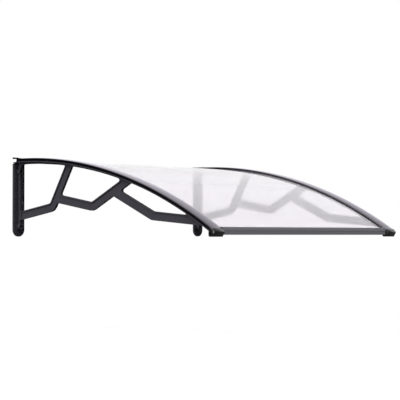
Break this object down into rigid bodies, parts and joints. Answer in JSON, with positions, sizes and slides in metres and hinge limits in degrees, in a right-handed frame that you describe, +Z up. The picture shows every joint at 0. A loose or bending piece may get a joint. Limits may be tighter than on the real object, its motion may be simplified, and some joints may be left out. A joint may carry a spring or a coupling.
{
  "type": "door canopy",
  "caption": "Arched door canopy: frosted polycarbonate roof sheet in dark side trims and a front bar, carried on moulded truss brackets that screw to the wall.",
  "frame": {"origin": "middle of the footprint, level with the feet of the wall plates and of the front corner caps; the wall plane is Y = +0.459", "axes": "+X to the right along the wall as seen from outside, +Y towards the wall, +Z up; the canopy reaches out towards -Y"},
  "size_m": [1, 0.9179, 0.2745],
  "materials": {
    "polycarbonate": "frosted translucent",
    "trim_gloss": "glossy black",
    "gasket_rubber": "matt black",
    "bracket_plastic": "satin moulded, charcoal",
    "bar_aluminium": "satin anodised, grey",
    "cap_plastic": "satin black",
    "screw_steel": "plain"
  },
  "bodies": {
    "root": {"roof_sheet": "polycarbonate", "side_trim_left": "trim_gloss", "side_trim_right": "trim_gloss", "trim_gasket_left": "gasket_rubber", "trim_gasket_right": "gasket_rubber", "wall_seal": "gasket_rubber", "bracket_left": "bracket_plastic", "bracket_right": "bracket_plastic", "front_bar": "bar_aluminium", "rear_rail": "bar_aluminium", "front_cap_left": "cap_plastic", "front_cap_right": "cap_plastic", "rear_cap_left": "cap_plastic", "rear_cap_right": "cap_plastic", "clamp_screw_left_1": "screw_steel", "clamp_screw_left_2": "screw_steel", "clamp_screw_left_3": "screw_steel", "clamp_screw_left_4": "screw_steel", "clamp_screw_right_1": "screw_steel", "clamp_screw_right_2": "screw_steel", "clamp_screw_right_3": "screw_steel", "clamp_screw_right_4": "screw_steel"}
  },
  "joints": []
}
